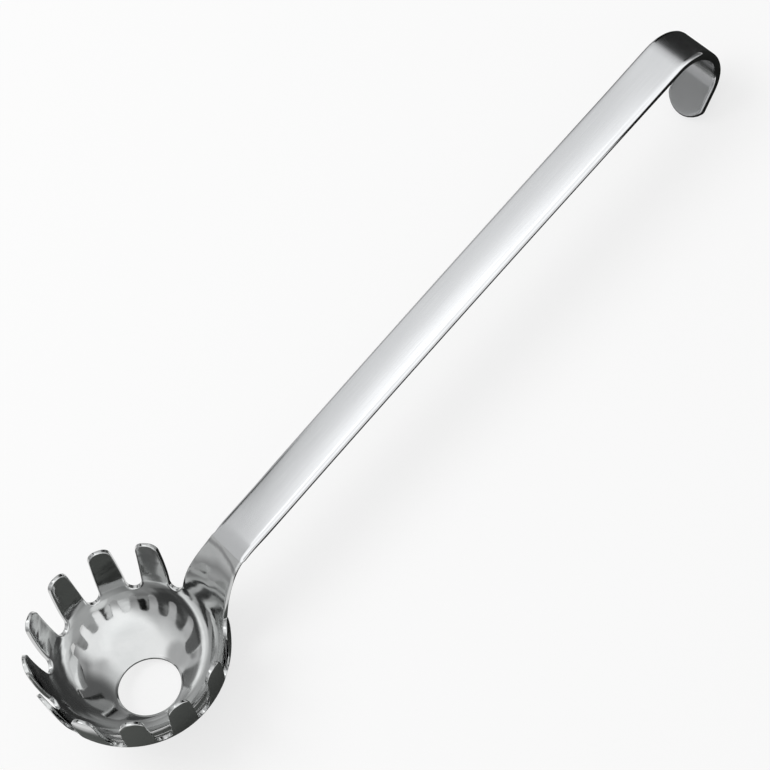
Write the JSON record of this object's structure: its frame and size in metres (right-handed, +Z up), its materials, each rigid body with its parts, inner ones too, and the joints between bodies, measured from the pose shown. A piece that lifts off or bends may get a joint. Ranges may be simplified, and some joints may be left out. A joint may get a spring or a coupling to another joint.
{
  "type": "pasta server",
  "caption": "Stainless steel pasta server: round slotted bowl with upright tines and a drain hole, on a flat strap handle bent to a hanging hook.",
  "frame": {"origin": "on the table, under the middle of the lying server's overall box", "axes": "+X along the handle from the bowl to the hook, +Y across the handle, +Z up off the table; the bowl opens upwards"},
  "size_m": [0.32, 0.0714, 0.0501],
  "materials": {
    "polished_sheet": "mirror-polished stainless steel",
    "weld_steel": "ground weld, satin",
    "brushed_strap": "satin stainless steel, brushed along the strap"
  },
  "bodies": {
    "root": {"scoop": "polished_sheet", "neck_weld": "weld_steel", "hook_handle": "brushed_strap"}
  },
  "joints": []
}
